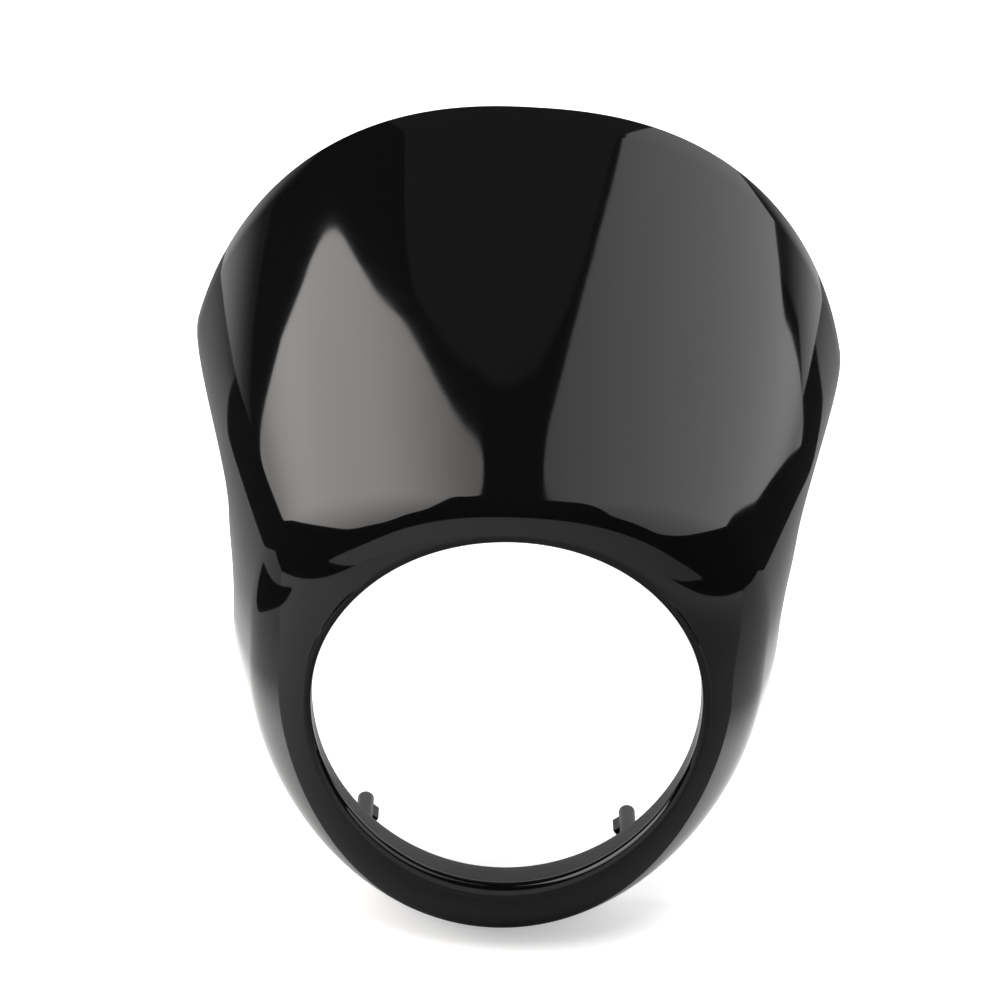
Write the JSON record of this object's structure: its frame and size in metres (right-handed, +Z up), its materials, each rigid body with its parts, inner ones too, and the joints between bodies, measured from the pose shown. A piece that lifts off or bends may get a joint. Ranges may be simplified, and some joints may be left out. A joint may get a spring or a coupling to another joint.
{
  "type": "headlight cowl",
  "caption": "Gloss black moulded cowl: a round headlight opening with a rolled lip, swept sides and a raked blade above it, held by screw bosses.",
  "frame": {"origin": "midway between the four screw bosses, on the plane on which they end, which is on the axis of the headlight opening", "axes": "+Y to the rear of the motorbike, +Z up, +X to the right seen from the front"},
  "size_m": [0.2924, 0.1756, 0.332],
  "materials": {
    "gloss_black": "gloss"
  },
  "bodies": {
    "root": {"cowl_shell": "gloss_black"}
  },
  "joints": []
}
